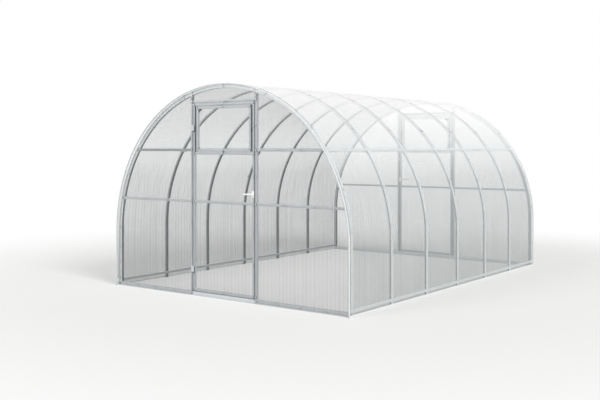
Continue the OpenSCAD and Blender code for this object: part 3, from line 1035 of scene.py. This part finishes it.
class GREENHOUSE_OT_screws(bpy.types.Operator):
    """Screws through the cover and gable sheets, larger where tubes meet"""
    bl_idname = "greenhouse.screws"
    bl_label = "Screws"

    def execute(self, context):
        self.cover()
        self.gables()
        self.doors()
        return {"FINISHED"}

    def cover(self):
        places = []
        for y in ARCH_Y:
            for step in (-SEAM_STEP, SEAM_STEP) if abs(y) < SEAM_STEP else (0,):
                for side in (-1, 1):
                    for angle in COVER_SCREWS:
                        way = Vector((side * math.cos(angle), 0, math.sin(angle)))
                        places.append((Vector((0, y + step, SPRING)) + way * (COVER_R - TAPE), way))
        screws("cover", "tunnel", places, 1, COVER_WASHER, "sunned_nylon", finish)

    def gables(self):
        middle = FRAME_R - tubes().gable_arch_depth / 2
        post = (POST_LOW.x + POST_HIGH.x) / 2
        sill, header = (PANEL_LOW.z + SILL_HIGH.z) / 2, (HEADER_LOW.z + HEADER_HIGH.z) / 2
        arch = [(0, SPRING + middle), (0, header)]
        joints, spots = [], []
        for side in (-1, 1):
            arch += [(side * middle * math.cos(a), SPRING + middle * math.sin(a)) for a in GABLE_ARCH_SCREWS]
            joints += [(side * post, z) for z in (LOW_BAR, HIGH_BAR, header, POST_HIGH.z - 0.03)]
            spots += [(side * middle, z) for z in GABLE_LEG_SCREWS]
            spots += [(side * post, z) for z in (SILL_HIGH.z + 0.02, *POST_SCREWS)]
            spots += [(side * x, sill) for x in (post, *SILL_SCREWS, middle)]
            for z in (LOW_BAR, HIGH_BAR):
                reach = math.sqrt(middle ** 2 - max(z - SPRING, 0) ** 2)
                joints.append((side * reach, z))
                spots += [(side * (post + (reach - post) * part), z) for part in (1 / 3, 2 / 3)]
        screws("gable", "tunnel", on_face(spots))
        screws("gable_arch", "tunnel", on_face(arch), JOINT_SCALE, JOINT_SCALE, "sunned_nylon")
        screws("gable_joint", "tunnel", on_face(joints), JOINT_SCALE, JOINT_SCALE)

    def doors(self):
        half = TUBE / 2
        stile = LEAF_HIGH.x - half
        low_rail, top_rail, transom = LEAF_LOW.z + half, LEAF_HIGH.z - half, TRANSOM_TOP - half
        joints = [(0, transom)]
        joints += [(side * stile, z) for side in (-1, 1) for z in (LOW_BAR, transom, top_rail)]
        spots = [(0, z) for z in (low_rail, LOW_BAR, top_rail)]
        spots += [(side * stile, z) for side in (-1, 1) for z in (low_rail, *STILE_SCREWS)]
        inside = SASH_PANEL_HIGH.x - half
        foot, top = SASH_PANEL_LOW.z + half, SASH_PANEL_HIGH.z - half
        spots += [(x, z) for x in (-inside, 0, inside) for z in (foot, top)]
        screws("leaf", "door", on_face(spots))
        screws("leaf_joint", "door", on_face(joints), JOINT_SCALE, JOINT_SCALE)


class GREENHOUSE_OT_bolts(bpy.types.Operator):
    """Hexagon bolts across the splices and feet of the arches"""
    bl_idname = "greenhouse.bolts"
    bl_label = "Arch bolts"

    def execute(self, context):
        middle = FRAME_R - tubes().arch_depth / 2
        heads = []
        for low, high in ARCH_BOXES[1:-1]:
            for side in (-1, 1):
                for z in (RAIL_HIGH.z + 0.03, tubes().splice_z - 0.03):
                    for y, way in ((low.y, -1), (high.y, 1)):
                        heads.append(hex_bolt((side * middle, y, z), (0, way, 0), width=0.009, height=0.005))
        finish(join(heads), "arch_bolts", "tunnel", "plated_steel")
        return {"FINISHED"}


def knuckle(side, z0, z1):
    """Barrel of a hinge with the web to its plate on the given side of the pin, standing at the origin."""
    barrel = rod(HINGE_R, (0, 0, z0), (0, 0, z1), 0.0008, 40)
    inset = 0.0004
    web = plate((0, HINGE_R - 0.0045, z0 + inset), (side * HINGE_R, HINGE_R, z1 - inset), 2, corner=0.0006)
    return [barrel, web]


def hinge_half(side):
    """One half of a hinge, with its middle at the origin: side -1 is the post's half, with the pin. It comes
    with the heads of its two screws."""
    size = hinge_sizes()
    half = size.height / 2
    third = (size.height - 2 * size.gap) / 3
    face = HINGE_R - size.plate
    near, far = side * (HINGE_R - size.plate / 2), side * (HINGE_R + size.plate_width)
    pieces = [plate((near, face, -half), (far, HINGE_R, half), 1, corner=0.004, edge=0.0005)]
    if side < 0:
        pieces += knuckle(side, -half, -half + third)
        pieces += knuckle(side, half - third, half)
        pieces.append(rod(HINGE_R * 0.5, (0, 0, -half), (0, 0, half)))
        for end in (-half, half):
            cap = end + math.copysign(0.0015, end)
            pieces.append(rod(HINGE_R * 0.78, (0, 0, end), (0, 0, cap), 0.0007))
    else:
        pieces += knuckle(side, -third / 2, third / 2)
    x = side * (HINGE_R + size.plate_width * 0.52)
    heads = [rod(0.0042, (x, face, z), (x, face - 0.0018, z), 0.0009, 24)
             for z in (-half * 0.62, half * 0.62)]
    return join(pieces), join(heads)


class GREENHOUSE_OT_hinges(bpy.types.Operator):
    """Pale hinges: the posts' halves with their pins, and the leaves' halves on dark rubber shims, which
    stand out to the right and below as a painted shadow
    """
    bl_idname = "greenhouse.hinges"
    bl_label = "Hinges"

    def execute(self, context):
        size = hinge_sizes()
        half = size.height / 2
        levels = [JAMB_LOW.z + half, JAMB_HIGH.z - half]
        barrel = HINGE_AXIS.x + HINGE_R
        face = PANEL_LOW.y
        # Dark rubber shims under the leaves' plates, wider to the right and below, where they paint the
        # hinges' shadow.
        shim_shadows = [plate((barrel - 0.001, face - size.shim, z - half - 0.010),
                       (barrel + size.plate_width + 0.008, face, z + half - 0.004), 1, corner=0.003)
                 for z in levels]
        finish_both(join(shim_shadows), "hinge_shims", "door", "washer_rubber")
        for side, name, body, node in ((-1, "hinge_jambs", "tunnel", "hinge_jambs"),
                                       (1, "hinge_leaves", "door", "door_fittings")):
            moulding, heads = hinge_half(side)
            for piece, tag, look, slot, nodes in (
                    (moulding, "_moulded", "sunned_nylon", "white_plastic", [node]),
                    (heads, "_screws", "plated_steel", "galvanised_steel", ())):
                copies = [duplicate(piece, Matrix.Translation((*HINGE_AXIS.xy, z))) for z in levels]
                bpy.data.objects.remove(piece)
                finish_both(join(copies), name + tag, body, look, nodes, slot)
        return {"FINISHED"}


def lever(y0, y1):
    """Moulded lever in front of a plate at y1, seen from y0. Its hub is on the spindle."""
    size = handle_sizes()
    x, z = SPINDLE.x, SPINDLE.z
    half = size.bar_height / 2
    hub_r = LEVER_HIGH.z - z
    edge = 0.0026
    way = 1 if y1 > y0 else -1
    thick = way * size.bar_thickness
    bar = plate((LEVER_LOW.x, y0, z - half), (x + half, y0 + thick, z + half), 1,
                corner=size.bar_height * 0.49, edge=edge, segments=7)
    hub = rod(hub_r, (x, y0, z), (x, y0 + thick, z), edge, 48)
    neck = rod(hub_r - 0.0015, (x, y0 + thick * 0.6, z), (x, y1 - way * 0.0006, z), vertices=48)
    edit(neck)
    pick("verts", lambda v: abs(v.co.y - y1) < 0.002)
    bpy.ops.transform.resize(value=(0.85, 1, 0.85), center_override=(x, y1, z))
    return [bar, hub, neck]


class GREENHOUSE_OT_levers(bpy.types.Operator):
    """White door levers on one spindle, and the plates that they turn in"""
    bl_idname = "greenhouse.levers"
    bl_label = "Door levers"

    def execute(self, context):
        size = handle_sizes()
        x, z = SPINDLE.x, SPINDLE.z
        half_w, half_h = size.plate_width / 2, size.plate_height / 2
        plates, heads, levers = [], [], []
        for face, end in ((PANEL_LOW.y, LEVER_LOW.y), (GABLE_BACK, LEVER_HIGH.y)):
            way = -1 if end < face else 1
            top = face + way * size.plate_thickness
            plates.append(plate((x - half_w, face, z - half_h), (x + half_w, top, z + half_h), 1,
                                corner=0.008, edge=0.0012, segments=6))
            for step in (-1, 1):
                spot = Vector((x, top, z + step * size.plate_height * 0.36))
                heads.append(rod(0.0038, spot, spot + Vector((0, way * 0.0014, 0)), 0.0007, 24))
            levers += lever(end, top)
        levers.append(rod(size.spindle, (x, LEVER_LOW.y + 0.001, z), (x, LEVER_HIGH.y - 0.001, z)))
        finish_both(join(plates), "handle_plates", "door", "white_abs", slot="white_plastic")
        finish_both(join(heads), "handle_plate_screws", "door", "plated_steel")
        finish_both(join(levers), "levers", "lever", "white_abs", ["door_lever"], "white_plastic")
        return {"FINISHED"}


# ---------------------------------------------------------------- stage

def seen(tree):
    """1 for the rays that show a thing, straight, mirrored or through a sheet, and 0 for those that only
    carry light."""
    path = add(tree, "LightPath")
    share = path.outputs["Is Camera Ray"]
    for kind in ("Is Glossy Ray", "Is Transmission Ray"):
        share = add(tree, "Math", {"operation": "MAXIMUM"}, {0: share, 1: path.outputs[kind]})
    return share


def floor_material():
    """Pale studio floor: it keeps the soft shadow near the greenhouse, and fades to plain white further
    out."""
    look, tree, place = new_look("pale_floor")
    reach = add(tree, "VectorMath", {"operation": "LENGTH"}, {0: place}).outputs["Value"]
    fade = add(tree, "MapRange",
               {"interpolation_type": "SMOOTHSTEP", "From Min": 3.0, "From Max": 7.0, "To Min": 0.25},
               {"Value": reach})
    share = add(tree, "Math", {"operation": "MULTIPLY"}, {0: seen(tree), 1: fade})
    matt = add(tree, "BsdfDiffuse", {"Color": linear("#F1F1EF")})
    white = add(tree, "Emission", {"Color": linear("#FFFFFF"), "Strength": 1.0})
    shader = add(tree, "MixShader", links={0: share, 1: matt, 2: white})
    return closed(look, shader)


class GREENHOUSE_OT_stage(bpy.types.Operator):
    """Pale floor, soft daylight and the camera"""
    bl_idname = "greenhouse.stage"
    bl_label = "Stage"

    def execute(self, context):
        deselect()
        bpy.ops.mesh.primitive_circle_add(
            vertices=96, radius=40, fill_type="NGON", location=(0, 0, -FLOOR_DROP))
        floor = context.object
        floor.name = "floor"
        floor.data.materials.append(floor_material())
        self.daylight(context)
        self.camera(context)
        return {"FINISHED"}

    def daylight(self, context):
        world = bpy.data.worlds.new("soft_daylight")
        context.scene.world = world
        world.use_nodes = True
        tree = world.node_tree
        tree.nodes.clear()
        level = add(tree, "MapRange", {"To Min": 0.46, "To Max": 1.0}, {"Value": seen(tree)})
        sky = add(tree, "Background", {"Color": linear("#FFFFFF")}, {"Strength": level})
        add(tree, "OutputWorld", links={"Surface": sky})
        for name, way, energy in LAMPS:
            bpy.ops.object.light_add(type="SUN", location=Vector(way) * LAMP_DISTANCE)
            lamp = context.object
            lamp.name = name
            lamp.rotation_euler = Vector(way).to_track_quat("Z", "Y").to_euler()
            lamp.data.energy = energy
            lamp.data.angle = math.radians(LAMP_SPREAD)

    def camera(self, context):
        bpy.ops.object.camera_add(
            location=CAMERA_PLACE, rotation=(math.pi / 2, 0, math.radians(CAMERA_TURN)))
        camera = context.object
        camera.data.lens = CAMERA_LENS
        camera.data.sensor_width = 36
        camera.data.shift_x, camera.data.shift_y = CAMERA_SHIFT
        camera.data.clip_end = 200
        scene = context.scene
        scene.camera = camera
        scene.view_settings.view_transform = "Standard"
        scene.cycles.transparent_max_bounces = 48


OPERATORS = (
    GREENHOUSE_OT_stage,
    GREENHOUSE_OT_arches,
    GREENHOUSE_OT_rails,
    GREENHOUSE_OT_bolts,
    GREENHOUSE_OT_covers,
    GREENHOUSE_OT_gable_frames,
    GREENHOUSE_OT_gable_sheets,
    GREENHOUSE_OT_doors,
    GREENHOUSE_OT_vents,
    GREENHOUSE_OT_hinges,
    GREENHOUSE_OT_levers,
    GREENHOUSE_OT_screws,
)


class GREENHOUSE_PT_panel(bpy.types.Panel):
    """Steps that dress the greenhouse's frame"""
    bl_idname = "GREENHOUSE_PT_panel"
    bl_label = "Greenhouse"
    bl_space_type = "VIEW_3D"
    bl_region_type = "UI"
    bl_category = "Greenhouse"

    def draw(self, context):
        for operator in OPERATORS:
            self.layout.operator(operator.bl_idname)


SETTINGS = {
    "tube_sizes": TubeSizes,
    "fitting_sizes": FittingSizes,
    "hinge_sizes": HingeSizes,
    "handle_sizes": HandleSizes,
    "finishes": Finishes,
}


def register():
    for name, group in SETTINGS.items():
        bpy.utils.register_class(group)
        setattr(bpy.types.Scene, name, bpy.props.PointerProperty(type=group))
    for cls in OPERATORS + (GREENHOUSE_PT_panel,):
        bpy.utils.register_class(cls)


def unregister():
    for cls in reversed(OPERATORS + (GREENHOUSE_PT_panel,)):
        bpy.utils.unregister_class(cls)
    for name, group in SETTINGS.items():
        delattr(bpy.types.Scene, name)
        bpy.utils.unregister_class(group)


def main():
    register()
    for operator in OPERATORS:
        group, name = operator.bl_idname.split(".")
        getattr(getattr(bpy.ops, group), name)()


if __name__ == "__main__":
    main()
